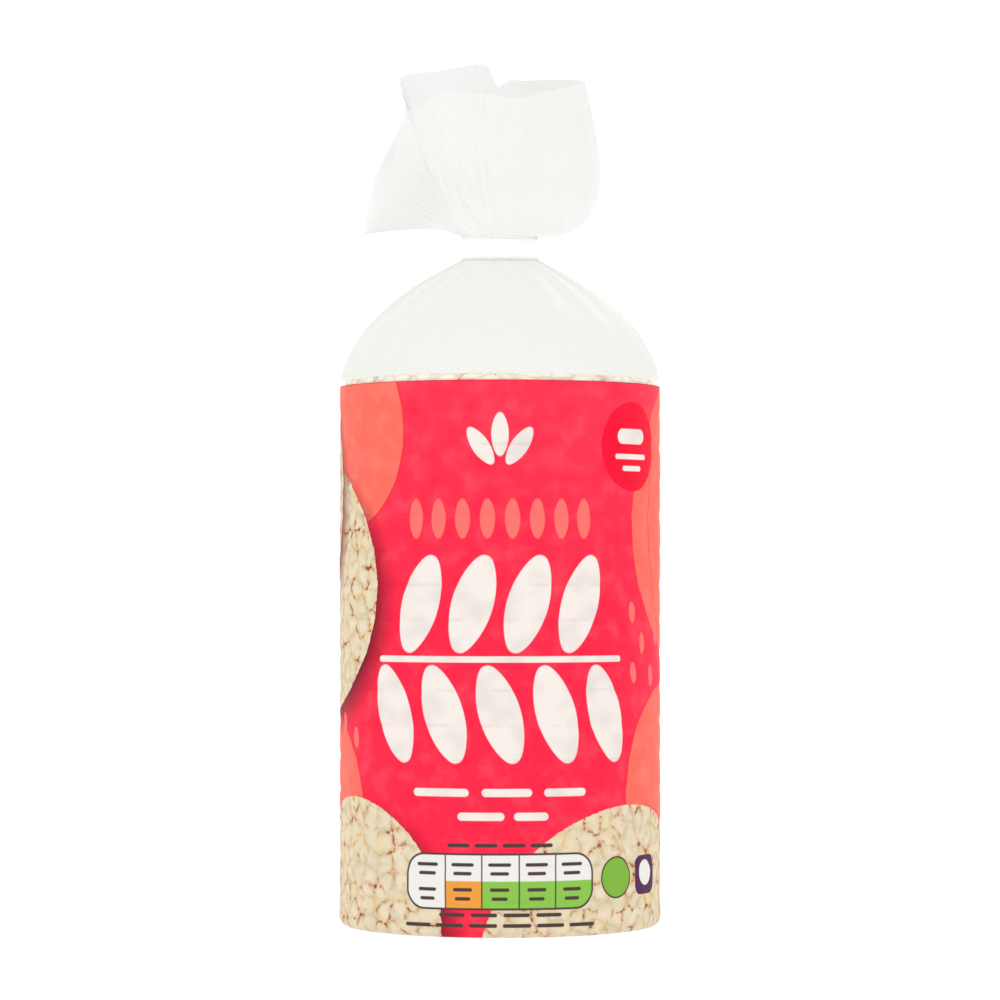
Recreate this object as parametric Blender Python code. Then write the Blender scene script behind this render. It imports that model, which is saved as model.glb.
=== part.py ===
"""A tied film pack of round puffed rice cakes, standing on its base.

Thick cakes are stacked in a tube of film. The film stands straight round the stack,
closes over the top cake in a dome, is gathered flat at the neck under a band of tape,
and fans out above the tape in a loose frill.

The film is one sheet wrapped into a tube. A place on it is a turn and a row: the turn
runs once round the tube from 0 to 1, anticlockwise from +X as seen from above, and the
rows climb from the base to the cut mouth. X is the pack's width, -Y is its front, +Z is
up, and the origin is on the stack's axis, on the face that the pack stands on.
All sizes below are in millimetres, and MM turns them to metres.
"""

import math
from functools import partial

import bmesh
import bpy
from mathutils import Vector

MM = 0.001

# The stack of cakes, and the film that stands round it.
CAKE_COUNT = 16
CAKE_PITCH = 10.05
BODY_RADIUS = 47.5
BASE_CORNER = 2.5
JOINT_DEPTH = 0.35
JOINT_REACH = 2.0

# The dome over the top cake, which closes to the flat neck.
SHOULDER_HEIGHT = 158.0
NECK_BOTTOM = 197.2
DOME_POWER = 2.05
PLEAT_COUNT = 12
PLEAT_DEPTH = 0.9

# The neck, and the tape round it.
NECK_HALF_WIDTH = 10.9
NECK_HALF_DEPTH = 2.9
NECK_TOP = 204.0
TAPE_BOTTOM = 197.5
TAPE_TOP = 203.2
TAPE_GAP = 0.35
TAPE_THICKNESS = 0.75
TAPE_EDGE = 0.15
LAP_STEP = 0.3
LAP_START = 0.08
LAP_END = 0.24

# The frill. Each strip of film leaves the neck outwards, swells, and stands up to the
# mouth. It swells most on the right, and on the left it lifts clear of the tape first.
SWELL_MEAN = 16.0
SWELL_SWING = 9.0
LIFT_MEAN = 2.0
LIFT_SWING = -2.0
RUFFLE_COUNT = 8
RUFFLE_DEPTH = 1.6
MOUTH_SINK = 0.3

# The cut edge of the film, at even turns round the tube: it starts at the right fold,
# runs along the back to the tip of the wing on the left, and returns along the front.
MOUTH = [
    Vector((25.4, 2.0, 249.7)),
    Vector((15.8, 11.0, 252.4)),
    Vector((4.4, 10.0, 251.2)),
    Vector((-5.0, 14.0, 257.2)),
    Vector((-17.8, 18.0, 256.0)),
    Vector((-30.0, 15.0, 252.6)),
    Vector((-28.8, 14.0, 240.5)),
    Vector((-37.6, 20.0, 223.8)),
    Vector((-40.8, 17.0, 206.5)),
    Vector((-36.0, 13.0, 219.0)),
    Vector((-31.0, 4.0, 231.0)),
    Vector((-27.5, -6.0, 240.5)),
    Vector((-17.0, -13.0, 245.0)),
    Vector((-6.0, -11.0, 245.5)),
    Vector((5.0, -16.0, 243.5)),
    Vector((16.0, -11.0, 246.5)),
]

# How finely the film is divided: strips round the tube, and rows in each stretch of it.
FILM_STRIPS = 48
DOME_ROWS = 10
FRILL_ROWS = 11
WELD_DISTANCE = 0.001


def depth_at_joints(height):
    """How far the film draws in where two cakes meet, and none between the joints."""
    joint = min(max(round(height / CAKE_PITCH), 1), CAKE_COUNT - 1)
    distance = abs(height - joint * CAKE_PITCH)
    return JOINT_DEPTH * max(1 - distance / JOINT_REACH, 0)


def inset_at_base(height):
    """How far the film's rounded lower corner is inside its straight side."""
    below = max(BASE_CORNER - height, 0)
    return BASE_CORNER - math.sqrt(BASE_CORNER**2 - below**2)


def standing_film(turn, height):
    """A point on the film round the stack and on the dome, up to the top of the neck."""
    angle = math.tau * turn
    rise = (height - SHOULDER_HEIGHT) / (NECK_BOTTOM - SHOULDER_HEIGHT)
    closing = min(max(rise, 0), 1) ** DOME_POWER
    half_width = BODY_RADIUS + (NECK_HALF_WIDTH - BODY_RADIUS) * closing
    half_depth = BODY_RADIUS + (NECK_HALF_DEPTH - BODY_RADIUS) * closing
    pleat = PLEAT_DEPTH * math.sin(math.pi * closing) * math.cos(PLEAT_COUNT * angle)
    relief = pleat - depth_at_joints(height) - inset_at_base(height)
    return Vector(
        (
            (half_width + relief) * math.cos(angle),
            (half_depth + relief) * math.sin(angle),
            height,
        )
    )


def mouth_point(turn):
    """A point on the cut edge, on a smooth closed curve through the MOUTH points."""
    place = (turn % 1) * len(MOUTH)
    first = math.floor(place)
    share = place - first
    before, start, end, after = (MOUTH[(first + k) % len(MOUTH)] for k in (-1, 0, 1, 2))
    bend = 2 * before - 5 * start + 4 * end - after
    turn_back = 3 * (start - end) + after - before
    return start + 0.5 * share * (end - before + share * (bend + share * turn_back))


def frill_film(turn, reach):
    """A point on the frill: reach runs from 0 at the neck to 1 at the cut edge."""
    angle = math.tau * turn
    swing = math.cos(angle)
    neck = standing_film(turn, NECK_TOP)
    mouth = mouth_point(turn)
    outward = ((mouth - neck) * Vector((1, 1, 0))).normalized()
    puff = neck + outward * (SWELL_MEAN + SWELL_SWING * swing)
    puff.z += LIFT_MEAN + LIFT_SWING * swing
    lip = (puff + mouth) / 2
    rest = 1 - reach
    point = neck * rest**3 + mouth * reach**3
    point += puff * (3 * rest**2 * reach) + lip * (3 * rest * reach**2)
    away_from_folds = math.sin(angle) ** 2
    ruffle = RUFFLE_DEPTH * reach**1.5 * away_from_folds * math.sin(RUFFLE_COUNT * angle)
    return point + outward * ruffle


def mouth_fold(turn):
    """The line between the front and back edges of the mouth, sunk where they part."""
    near = frill_film(turn, 1)
    far = frill_film(-turn, 1)
    middle = (near + far) / 2
    middle.z -= MOUTH_SINK * (near - far).length
    return middle


def tape_point(turn, out, height):
    """A point on the tape, a distance out from the neck, thicker where its ends lap."""
    angle = math.tau * turn
    side = Vector((math.cos(angle) / NECK_HALF_WIDTH, math.sin(angle) / NECK_HALF_DEPTH, 0))
    if out > TAPE_GAP + TAPE_THICKNESS / 2 and LAP_START <= turn % 1 <= LAP_END:
        out += LAP_STEP
    point = standing_film(turn, NECK_TOP) + side.normalized() * out
    point.z = height
    return point


def wrapped_sheet(rows, strips):
    """A flat sheet wrapped round, each row shaped by its own function of the turn."""
    sheet = bmesh.new()
    steps = len(rows) - 1
    bmesh.ops.create_grid(sheet, x_segments=strips, y_segments=steps, size=0.5)
    for vertex in sheet.verts:
        row = rows[round((vertex.co.y + 0.5) * steps)]
        vertex.co = row(vertex.co.x + 0.5) * MM
    bmesh.ops.remove_doubles(sheet, verts=sheet.verts, dist=WELD_DISTANCE * MM)
    return sheet


def finish(name, sheet, material, sharp_degrees):
    """Turns a finished sheet into a named object with its material and shading."""
    bmesh.ops.recalc_face_normals(sheet, faces=sheet.faces)
    mesh = bpy.data.meshes.new(name)
    sheet.to_mesh(mesh)
    sheet.free()
    mesh.shade_smooth()
    mesh.set_sharp_from_angle(angle=math.radians(sharp_degrees))
    mesh.materials.append(material)
    made = bpy.data.objects.new(name, mesh)
    bpy.context.scene.collection.objects.link(made)
    return made


def principled(name, colour, roughness, metallic=0.0):
    material = bpy.data.materials.new(name)
    material.use_nodes = True
    shader = material.node_tree.nodes["Principled BSDF"]
    shader.inputs["Base Color"].default_value = (*colour, 1)
    shader.inputs["Roughness"].default_value = roughness
    shader.inputs["Metallic"].default_value = metallic
    return material


def film_heights():
    """The rows of the standing film: the base corner, each cake's side, the dome."""
    heights = [0, 0.3 * BASE_CORNER, BASE_CORNER]
    for joint in range(1, CAKE_COUNT):
        middle = joint * CAKE_PITCH
        heights += [middle - JOINT_REACH, middle, middle + JOINT_REACH]
    heights.append(SHOULDER_HEIGHT)
    dome = NECK_BOTTOM - SHOULDER_HEIGHT
    quarter = math.pi / 2
    for step in range(1, DOME_ROWS + 1):
        heights.append(SHOULDER_HEIGHT + dome * math.sin(quarter * step / DOME_ROWS))
    return heights


def make_bag():
    """The filled film tube, from its flat base to the mouth of the frill."""
    rows = [partial(standing_film, height=height) for height in film_heights()]
    rows += [partial(frill_film, reach=step / FRILL_ROWS) for step in range(FRILL_ROWS + 1)]
    rows.append(mouth_fold)
    bag = wrapped_sheet(rows, FILM_STRIPS)
    base_edge = [edge for edge in bag.edges if edge.is_boundary]
    bmesh.ops.holes_fill(bag, edges=base_edge, sides=FILM_STRIPS)
    film = principled("printed_film", (0.95, 0.05, 0.10), 0.38)
    return finish("bag", bag, film, sharp_degrees=50)


def make_neck_tape():
    """The band of tape round the neck, with its free end lapped at the back."""
    inner = TAPE_GAP
    outer = TAPE_GAP + TAPE_THICKNESS
    section = [
        (inner, TAPE_BOTTOM),
        (outer - TAPE_EDGE, TAPE_BOTTOM),
        (outer, TAPE_BOTTOM + TAPE_EDGE),
        (outer, TAPE_TOP - TAPE_EDGE),
        (outer - TAPE_EDGE, TAPE_TOP),
        (inner, TAPE_TOP),
        (inner, TAPE_BOTTOM),
    ]
    rows = [partial(tape_point, out=out, height=height) for out, height in section]
    tape = wrapped_sheet(rows, FILM_STRIPS)
    return finish("neck_tape", tape, principled("white_tape", (0.92, 0.92, 0.92), 0.45), 40)


for old in list(bpy.data.objects):
    bpy.data.objects.remove(old)

make_bag()
make_neck_tape()
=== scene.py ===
# %% [markdown]
# # A tied film pack of puffed rice cakes
#
# The real thing is one tube of thin plastic film, filled with a stack of round puffed
# rice cakes. The lower film is printed and opaque, and the upper film is clear. A band
# of white tape gathers the tube over the cakes, and the spare film fans out above it.
#
# A fixed model of the pack gives every size here. This lesson dresses it: thin film with
# its tucks and creases, the cakes inside it, the print, the tape and the light.

# %% Load the fixed model
import math
from functools import partial

import bmesh
import bpy
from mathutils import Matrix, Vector, noise


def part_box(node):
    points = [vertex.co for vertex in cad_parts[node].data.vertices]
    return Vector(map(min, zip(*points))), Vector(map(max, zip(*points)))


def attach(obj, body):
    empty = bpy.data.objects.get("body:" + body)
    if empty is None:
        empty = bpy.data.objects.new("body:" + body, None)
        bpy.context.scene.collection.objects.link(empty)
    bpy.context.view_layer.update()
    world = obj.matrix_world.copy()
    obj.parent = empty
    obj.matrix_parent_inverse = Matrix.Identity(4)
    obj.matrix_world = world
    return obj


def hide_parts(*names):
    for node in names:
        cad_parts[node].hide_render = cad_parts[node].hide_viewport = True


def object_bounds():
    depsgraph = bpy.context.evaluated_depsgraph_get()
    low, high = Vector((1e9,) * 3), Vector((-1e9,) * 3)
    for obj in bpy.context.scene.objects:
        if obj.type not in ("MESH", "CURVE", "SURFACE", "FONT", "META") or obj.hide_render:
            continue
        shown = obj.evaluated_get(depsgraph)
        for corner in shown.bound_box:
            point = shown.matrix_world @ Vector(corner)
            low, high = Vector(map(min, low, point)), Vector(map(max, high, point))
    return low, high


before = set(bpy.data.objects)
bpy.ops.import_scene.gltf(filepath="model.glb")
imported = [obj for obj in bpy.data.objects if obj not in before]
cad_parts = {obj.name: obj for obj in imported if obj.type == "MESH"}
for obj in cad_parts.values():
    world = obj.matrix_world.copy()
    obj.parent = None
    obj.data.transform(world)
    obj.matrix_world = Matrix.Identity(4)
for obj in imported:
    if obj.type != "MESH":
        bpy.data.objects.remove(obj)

MM = 0.001
cad_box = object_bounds()
print("fixed model:", [round((high - low) / MM, 1) for low, high in zip(*cad_box)], "mm")

# %% [markdown]
# ## The camera
#
# A tall pack is best seen from well back with a long lens, so that its upright sides
# stay upright. The camera stands level with the lower half of the pack and tilts up a
# little. A short lens close by would frame the same width, but it would bend the bands of
# the print.

# %% Place the camera
CAMERA_DISTANCE = 1.14
CAMERA_HEIGHT = 0.1025
CAMERA_TILT = 1.165
CAMERA_LENS = 138.1

camera = bpy.data.objects.new("camera", bpy.data.cameras.new("camera"))
camera.location = (0, -CAMERA_DISTANCE, CAMERA_HEIGHT)
camera.rotation_euler = (math.radians(90 + CAMERA_TILT), 0, 0)
camera.data.lens = CAMERA_LENS
bpy.context.scene.collection.objects.link(camera)
bpy.context.scene.camera = camera
print("camera:", CAMERA_DISTANCE, "m away with a", CAMERA_LENS, "mm lens")

# %% [markdown]
# ## Adding nodes
#
# Every finish below is a tree of nodes. One helper adds any node: its inputs are given by
# name or number, each as a value or as another node's output, and its other settings by
# name. Three short ones use it for arithmetic. Another turns a hex colour, as a paint
# chart gives it, into the linear light values that Blender counts in.

# %% Helpers for materials
def add(tree, kind, inputs=(), **settings):
    """Adds a node with its settings, and sets or links its inputs."""
    node = tree.nodes.new(kind)
    for name, value in settings.items():
        setattr(node, name, value)
    for socket, value in dict(inputs).items():
        if isinstance(value, bpy.types.NodeSocket):
            tree.links.new(value, node.inputs[socket])
        else:
            node.inputs[socket].default_value = value
    return node


def number(tree, operation, *values):
    """The outcome of a sum on numbers, as a number."""
    return add(tree, "ShaderNodeMath", enumerate(values), operation=operation).outputs[0]


def vector(tree, operation, *values):
    """The outcome of a sum on vectors, as a vector."""
    return add(tree, "ShaderNodeVectorMath", enumerate(values), operation=operation).outputs[0]


def length(tree, place):
    """The length of a vector."""
    values = {0: place}
    return add(tree, "ShaderNodeVectorMath", values, operation="LENGTH").outputs["Value"]


def ink(code):
    """A hex colour as linear red, green, blue and a full alpha."""
    shares = [int(code[place : place + 2], 16) / 255 for place in (1, 3, 5)]
    linear = [s / 12.92 if s <= 0.04045 else ((s + 0.055) / 1.055) ** 2.4 for s in shares]
    return (*linear, 1.0)


def new_material(name, finish):
    """A material with one Principled shader, and the uniform values of its finish."""
    material = bpy.data.materials.new(name)
    material.use_nodes = True
    shader = material.node_tree.nodes["Principled BSDF"]
    for socket, value in finish.items():
        shader.inputs[socket].default_value = value
    return material, material.node_tree, shader


def object_place(tree):
    """The place on the piece, in metres."""
    return add(tree, "ShaderNodeTexCoord").outputs["Object"]


def roughen(tree, shader, height, strength, distance):
    """Makes a shader see a fine relief."""
    relief = {"Height": height, "Strength": strength, "Distance": distance}
    bumped = add(tree, "ShaderNodeBump", relief).outputs[0]
    tree.links.new(bumped, shader.inputs["Normal"])
    return bumped


print("middle grey in linear light:", round(ink("#808080")[0], 3))

# %% [markdown]
# ## The studio
#
# The pack stands on a light table in even white light. A large soft lamp to the left and
# a smaller one to the right lay broad, faint highlights on the film, as the walls of a
# light tent do. The background is white light, not a wall, so that the pack can be looked
# at from every side. A plain white floor catches the pink of the print.

# %% Light and floor
FLOOR_SIZE = 8.0
WORLD_STRENGTH = 1.05
TABLE_GLOW = 0.88
LAMPS = {
    "key_lamp": ((-1.0, -1.3, 1.3), 1.3, 4.0),
    "fill_lamp": ((1.3, -0.9, 0.7), 1.0, 1.6),
    "back_lamp": ((0.3, 1.4, 1.2), 1.0, 2.0),
}

world = bpy.data.worlds.new("studio")
world.use_nodes = True
sky = world.node_tree.nodes["Background"]
sky.inputs["Color"].default_value = (1, 1, 1, 1)
sky.inputs["Strength"].default_value = WORLD_STRENGTH
bpy.context.scene.world = world
bpy.context.scene.view_settings.view_transform = "Standard"

pack_middle = Vector((0, 0, (cad_box[0].z + cad_box[1].z) / 2))
for name, (place, size, power) in LAMPS.items():
    lamp = bpy.data.objects.new(name, bpy.data.lights.new(name, "AREA"))
    lamp.data.size = size
    lamp.data.energy = power
    lamp.location = place
    lamp.rotation_euler = (pack_middle - lamp.location).to_track_quat("-Z", "Y").to_euler()
    bpy.context.scene.collection.objects.link(lamp)

# Opal acrylic: a cast sheet of milky plastic, lit from below. It glows an even white and
# takes almost no shadow.
table_finish = {
    "Base Color": ink("#6A6A6A"),
    "Roughness": 0.9,
    "Emission Color": (1, 1, 1, 1),
    "Emission Strength": TABLE_GLOW,
}
opal_acrylic, _, _ = new_material("opal_acrylic_light_table", table_finish)
floor_sheet = bmesh.new()
bmesh.ops.create_grid(floor_sheet, x_segments=1, y_segments=1, size=FLOOR_SIZE / 2)
floor_mesh = bpy.data.meshes.new("floor")
floor_sheet.to_mesh(floor_mesh)
floor_sheet.free()
floor_mesh.materials.append(opal_acrylic)
floor = bpy.data.objects.new("floor", floor_mesh)
bpy.context.scene.collection.objects.link(floor)
print("studio:", len(LAMPS), "lamps and a floor of", FLOOR_SIZE, "m")

# %% [markdown]
# ## The driving sizes
#
# These are the sizes of the fixed model, in millimetres. Those that its boxes can give are
# read from them. The others have the names and values of the fixed model. Only the joints
# are shallower here, and two points of the mouth stand a millimetre higher.

# %% Sizes
bag_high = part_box("bag")[1] / MM
tape_low, tape_high = (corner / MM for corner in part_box("neck_tape"))

BODY_RADIUS = bag_high.x
BASE_CORNER = 2.5
CAKE_COUNT = 16
CAKE_PITCH = 10.05
JOINT_DEPTH = 0.22
JOINT_REACH = 2.6

SHOULDER_HEIGHT = 158.0
NECK_BOTTOM = 197.2
DOME_POWER = 2.05
NECK_HALF_WIDTH = 10.9
NECK_HALF_DEPTH = 2.9
NECK_TOP = 204.0

SWELL_MEAN = 16.0
SWELL_SWING = 9.0
LIFT_MEAN = 2.0
LIFT_SWING = -2.0
RUFFLE_COUNT = 8
RUFFLE_DEPTH = 1.6

MOUTH = [
    Vector((25.4, 2.0, 250.6)),
    Vector((15.8, 11.0, 252.4)),
    Vector((4.4, 10.0, 252.1)),
    Vector((-5.0, 14.0, 257.2)),
    Vector((-17.8, 18.0, 256.0)),
    Vector((-30.0, 15.0, 252.6)),
    Vector((-28.8, 14.0, 240.5)),
    Vector((-37.6, 20.0, 223.8)),
    Vector((-40.8, 17.0, 206.5)),
    Vector((-36.0, 13.0, 219.0)),
    Vector((-31.0, 4.0, 231.0)),
    Vector((-27.5, -6.0, 240.5)),
    Vector((-17.0, -13.0, 245.0)),
    Vector((-6.0, -11.0, 245.5)),
    Vector((5.0, -16.0, 243.5)),
    Vector((16.0, -11.0, 246.5)),
]

print("body", round(2 * BODY_RADIUS, 1), "mm wide,", round(bag_high.z, 1), "mm tall")

# %% [markdown]
# ## Film as a wrapped sheet
#
# On the packing line the film is one flat sheet, folded round a tube and sealed to
# itself. The same is done here: a flat grid is created, each of its rows is bent to its
# own closed curve, and the two side edges are welded. The flat sheet's layout is kept as
# a UV map, so that a print can be laid on it before it is wrapped, as a printer does.
# Spinning a profile would also make the round body, but not the flat neck or the frill.

# %% Wrap a sheet
WELD_DISTANCE = 0.0005
LAYOUT = "OFBake"
FRONT_TURN = 0.75
BACK_TURN = 0.25


def ways_along(rows):
    """How far each row is along the sheet, up its front, in millimetres."""
    places = [row(FRONT_TURN) for row in rows]
    ways = [0.0]
    for start, end in zip(places, places[1:]):
        ways.append(ways[-1] + (end - start).length)
    return ways


def wrapped_sheet(rows, strips, relief=None):
    """Wraps a flat grid: each row is a function of the turn, 0 to 1 round the tube.

    A relief is a function of a point that says how far the film stands out there.
    """
    sheet = bmesh.new()
    layout = sheet.loops.layers.uv.new(LAYOUT)
    steps = len(rows) - 1
    ways = ways_along(rows)
    bmesh.ops.create_grid(sheet, x_segments=strips, y_segments=steps, size=0.5)
    for vertex in sheet.verts:
        turn = vertex.co.x + 0.5
        row = round((vertex.co.y + 0.5) * steps)
        for corner in vertex.link_loops:
            corner[layout].uv = (turn, ways[row] / ways[-1])
        vertex.co = rows[row](turn) * MM
    bmesh.ops.remove_doubles(sheet, verts=sheet.verts, dist=WELD_DISTANCE * MM)
    if relief:
        sheet.normal_update()
        moves = [vertex.normal * relief(vertex.co / MM) * MM for vertex in sheet.verts]
        for vertex, move in zip(sheet.verts, moves):
            vertex.co += move
    return sheet


def make_piece(name, sheet, material, slot, *replaced):
    """Turns a shaped sheet into a named piece that rides on the pack."""
    mesh = bpy.data.meshes.new(name)
    sheet.to_mesh(mesh)
    sheet.free()
    mesh.shade_smooth()
    mesh.materials.append(material)
    piece = bpy.data.objects.new(name, mesh)
    bpy.context.scene.collection.objects.link(piece)
    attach(piece, "root")
    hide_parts(*replaced)
    mesh.calc_loop_triangles()
    print(name, "has", len(mesh.loop_triangles), "triangles")


# %% [markdown]
# ## The shape of the film
#
# Round the stack the film is drawn tight: it bridges from cake to cake, dips a fifth of a
# millimetre where two cakes meet, and shows their lumpy rims. Over the top cake it closes
# in a dome whose cross-section goes from round to a flat oval, because the neck is
# gathered flat. The surplus film lies in tucks, which are shallow at the shoulder and
# crowd together at the neck. A cosine would give even waves like a curtain's, so the
# phase wanders with a noise, and sharp folds are mixed in.

# %% Film round the stack and over it
TUCK_COUNT = 17
TUCK_DEPTH = 0.8
GATHER_COUNT = 43
GATHER_DEPTH = 0.28
TUCK_RING = 1.6
TUCK_WANDER = 2.6
SHARP_SHARE = 0.4
DOME_VARIETY = 4.0
NECK_VARIETY = 9.0
RIM_LUMP = 13.0
RIM_LUMP_DEPTH = 0.16
CREASE_SIZE = 5.0
CREASE_DEPTH = 0.05
BACK_SEAM_HALF_WIDTH = 4.5
BACK_SEAM_SLOPE = 0.5
BACK_SEAM_STEP = 0.22
PRINT_TOP = 159.1


def round_the_tube(turn, radius, height=0):
    """A point on a circle, so that a noise read there meets itself after a full turn."""
    angle = math.tau * turn
    return Vector((radius * math.cos(angle), radius * math.sin(angle), height))


def tucks(turn, count, variety):
    """Uneven tucks round the tube, from -1 to 1, part rounded and part sharply folded."""
    spot = round_the_tube(turn, TUCK_RING, variety)
    phase = count * math.tau * turn + TUCK_WANDER * noise.noise(spot)
    fold = 1 - 2 * abs(math.sin(phase / 2 + noise.noise(spot * 2)))
    return (1 - SHARP_SHARE) * math.cos(phase) + SHARP_SHARE * fold


def back_seam(turn):
    """How far the film stands out down the middle of the back, where its edges overlap."""
    way = abs(turn % 1 - BACK_TURN) * math.tau * BODY_RADIUS
    return BACK_SEAM_STEP * min(max((BACK_SEAM_HALF_WIDTH - way) / BACK_SEAM_SLOPE, 0), 1)


def depth_at_joints(turn, height):
    """How far the film draws in where two cakes meet, more at some joints than others."""
    joint = min(max(round(height / CAKE_PITCH), 1), CAKE_COUNT - 1)
    share = min(abs(height - joint * CAKE_PITCH) / JOINT_REACH, 1)
    uneven = 0.8 + 0.5 * noise.noise(round_the_tube(turn, 1.2, 3.7 * joint))
    return JOINT_DEPTH * uneven * (0.5 + 0.5 * math.cos(math.pi * share))


def inset_at_base(height):
    """How far the film's rounded lower corner is inside its straight side."""
    below = max(BASE_CORNER - height, 0)
    return BASE_CORNER - math.sqrt(BASE_CORNER**2 - below**2)


def standing_film(turn, height):
    """A point on the film round the stack and on the dome, up to the top of the neck."""
    angle = math.tau * turn
    rise = (height - SHOULDER_HEIGHT) / (NECK_BOTTOM - SHOULDER_HEIGHT)
    closing = min(max(rise, 0), 1) ** DOME_POWER
    half_width = BODY_RADIUS + (NECK_HALF_WIDTH - BODY_RADIUS) * closing
    half_depth = BODY_RADIUS + (NECK_HALF_DEPTH - BODY_RADIUS) * closing
    relief = TUCK_DEPTH * math.sin(math.pi * closing) * tucks(turn, TUCK_COUNT, DOME_VARIETY)
    relief += GATHER_DEPTH * closing**1.5 * tucks(turn, GATHER_COUNT, NECK_VARIETY)
    relief += back_seam(turn) * (1 - closing)
    relief -= depth_at_joints(turn, height) + inset_at_base(height)
    wide, deep = half_width + relief, half_depth + relief
    return Vector((wide * math.cos(angle), deep * math.sin(angle), height))


def film_relief(point):
    """The lumpy rims of the cakes under the film, and its small creases; none at the foot."""
    above_foot = min(max(point.z / BASE_CORNER, 0), 1)
    lumps = noise.noise(point / RIM_LUMP) * RIM_LUMP_DEPTH
    return above_foot * (lumps + noise.noise(point / CREASE_SIZE) * CREASE_DEPTH)


print("tucks:", TUCK_COUNT, "deep ones and", GATHER_COUNT, "fine ones at the neck")

# %% [markdown]
# ## The underside
#
# The tube's lower end is folded in under the pack and sealed, so the underside is a
# little hollow, with folds that run to its middle. The pack stands on the ring just inside
# its lower corner.

# %% Film under the pack
BASE_HOLLOW = 0.35
BASE_FOLDS = 9
BASE_VARIETY = 2.0
BASE_FOLD_DEPTH = 0.4


def base_film(turn, share):
    """A point under the pack, from its middle, at 0, to the foot of its side, at 1."""
    radius = share * (BODY_RADIUS - BASE_CORNER)
    fold = 0.5 + 0.5 * tucks(turn, BASE_FOLDS, BASE_VARIETY)
    height = BASE_HOLLOW * (1 - share**2) ** 2
    height += BASE_FOLD_DEPTH * fold * share * (1 - share)
    return round_the_tube(turn, radius, height)


print("the underside is hollow by", BASE_HOLLOW, "mm")

# %% [markdown]
# ## Printing on the film
#
# The print is a drawing in millimetres on the flat film: across is the way round the pack
# from the middle of its front, and up is the height. Each shape is a distance: how far a
# place is outside the shape, negative inside. A distance gives a sharp edge at any size,
# and one shape folded over a row prints it many times. An image would need drawing
# outside Blender and would blur close up.
#
# The design is a plain one: fields of pink and coral, round cakes, an ear of rice grains,
# badges and a small panel of coloured cells. It has no words.

# %% Shapes for the print
EDGE = 0.12
SQUARE = 0.2
GRAIN_POINT = 1.18
GRAIN_SOFTNESS = 0.12


def disc(tree, place, centre, radius):
    """The distance from a round patch."""
    reach = length(tree, vector(tree, "SUBTRACT", place, (*centre, 0)))
    return number(tree, "SUBTRACT", reach, radius)


def leaning(tree, place, centre, lean, size=(1, 1, 1)):
    """A place as a shape of some size sees it, from its own middle and along its lean."""
    turn = {"Location": (*centre, 0), "Rotation": (0, 0, math.radians(-lean)), "Scale": size}
    mapping = add(tree, "ShaderNodeMapping", {0: place, **turn}, vector_type="TEXTURE")
    return mapping.outputs[0]


def oval(tree, place, centre, width, height, lean=0.0):
    """The distance from an oval that leans to the right by some degrees."""
    reach = length(tree, leaning(tree, place, centre, lean, (width / 2, height / 2, 1)))
    narrow = min(width, height) / 2
    return number(tree, "MULTIPLY_ADD", reach, narrow, -narrow)


def grain(tree, place, centre, width, height, lean=0.0):
    """The distance from a grain: two arcs, blunted by an oval, with the corners rounded."""
    half_width = width / 2
    half_height = height / 2 * GRAIN_POINT
    radius = (half_width**2 + half_height**2) / (2 * half_width)
    folded = vector(tree, "ABSOLUTE", leaning(tree, place, centre, lean))
    shifted = vector(tree, "ADD", folded, (radius - half_width, 0, 0))
    arcs = number(tree, "SUBTRACT", length(tree, shifted), radius)
    blunt = oval(tree, place, centre, width * GRAIN_POINT, height, lean)
    return number(tree, "SMOOTH_MAX", arcs, blunt, width * GRAIN_SOFTNESS)


def bar(tree, place, centre, width, height, corner):
    """The distance from an upright rectangle with round corners."""
    folded = vector(tree, "ABSOLUTE", vector(tree, "SUBTRACT", place, (*centre, 0)))
    inner = (width / 2 - corner, height / 2 - corner, 0)
    past = vector(tree, "SUBTRACT", folded, inner)
    reach = length(tree, vector(tree, "MAXIMUM", past, (0, 0, 0)))
    return number(tree, "SUBTRACT", reach, corner)


def dash(tree, place, centre, width, height):
    """The distance from a bar with fully round ends."""
    return bar(tree, place, centre, width, height, height / 2)


def repeated(tree, place, axis, first, step, count):
    """Folds a row of places on to the first, so that one shape there prints count times."""
    parts = add(tree, "ShaderNodeSeparateXYZ", {0: place})
    along = parts.outputs[axis]
    steps = number(tree, "DIVIDE", number(tree, "SUBTRACT", along, first), step)
    limits = {"Value": number(tree, "ROUND", steps), "Min": 0, "Max": count - 1}
    nearest = add(tree, "ShaderNodeClamp", limits).outputs[0]
    moved = number(tree, "MULTIPLY_ADD", nearest, -step, along)
    joined = {0: parts.outputs[0], 1: parts.outputs[1], axis: moved}
    return add(tree, "ShaderNodeCombineXYZ", joined).outputs[0]


def ramp(tree, value, start, end, full=1.0):
    """0 where a value is at its start, rising to a full share where it is at its end."""
    limits = {"Value": value, "From Min": start, "From Max": end, "To Max": full}
    return add(tree, "ShaderNodeMapRange", limits).outputs[0]


def inside(tree, distance, edge=EDGE):
    """1 inside a shape and 0 outside it, with a soft edge."""
    return ramp(tree, distance, edge, -edge)


def both(tree, one, other):
    """The part that lies in both of two masks."""
    return number(tree, "MULTIPLY", one, other)


def either(tree, one, other):
    """The part that lies in one of two masks or in both."""
    return number(tree, "MAXIMUM", one, other)


def paint(tree, under, mask, colour):
    """Lays a colour over another where the mask is 1."""
    mix = {"Factor": mask, 6: under, 7: colour}
    return add(tree, "ShaderNodeMix", mix, data_type="RGBA").outputs[2]


def mixed(tree, mask, under, over):
    """Goes from one number to another where the mask is 1."""
    return add(tree, "ShaderNodeMix", {"Factor": mask, 2: under, 3: over}).outputs[0]


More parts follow.
